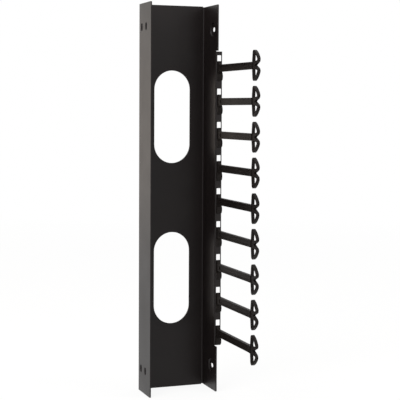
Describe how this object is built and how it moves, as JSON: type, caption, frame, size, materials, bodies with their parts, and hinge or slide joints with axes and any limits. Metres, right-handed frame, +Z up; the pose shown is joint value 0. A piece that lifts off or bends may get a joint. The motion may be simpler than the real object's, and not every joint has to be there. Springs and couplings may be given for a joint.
{
  "type": "vertical cable manager",
  "caption": "Vertical cable manager: a bent steel channel with obround pass-throughs and a slotted lip that carries moulded cable fingers with double-loop heads.",
  "frame": {"origin": "centre of the channel's back face, at mid-height and mid-width", "axes": "+X to the right as seen from the front, towards the flange with the finger lip; +Y to the back, out of the flat back face; -Y to the front, where the channel is open and the fingers point; +Z up along the channel"},
  "size_m": [0.1019, 0.1818, 0.521],
  "materials": {
    "channel_steel": "satin",
    "finger_nylon": "satin"
  },
  "bodies": {
    "root": {"channel": "channel_steel", "finger_1": "finger_nylon", "finger_2": "finger_nylon", "finger_3": "finger_nylon", "finger_4": "finger_nylon", "finger_5": "finger_nylon", "finger_6": "finger_nylon", "finger_7": "finger_nylon", "finger_8": "finger_nylon", "finger_9": "finger_nylon"}
  },
  "joints": []
}
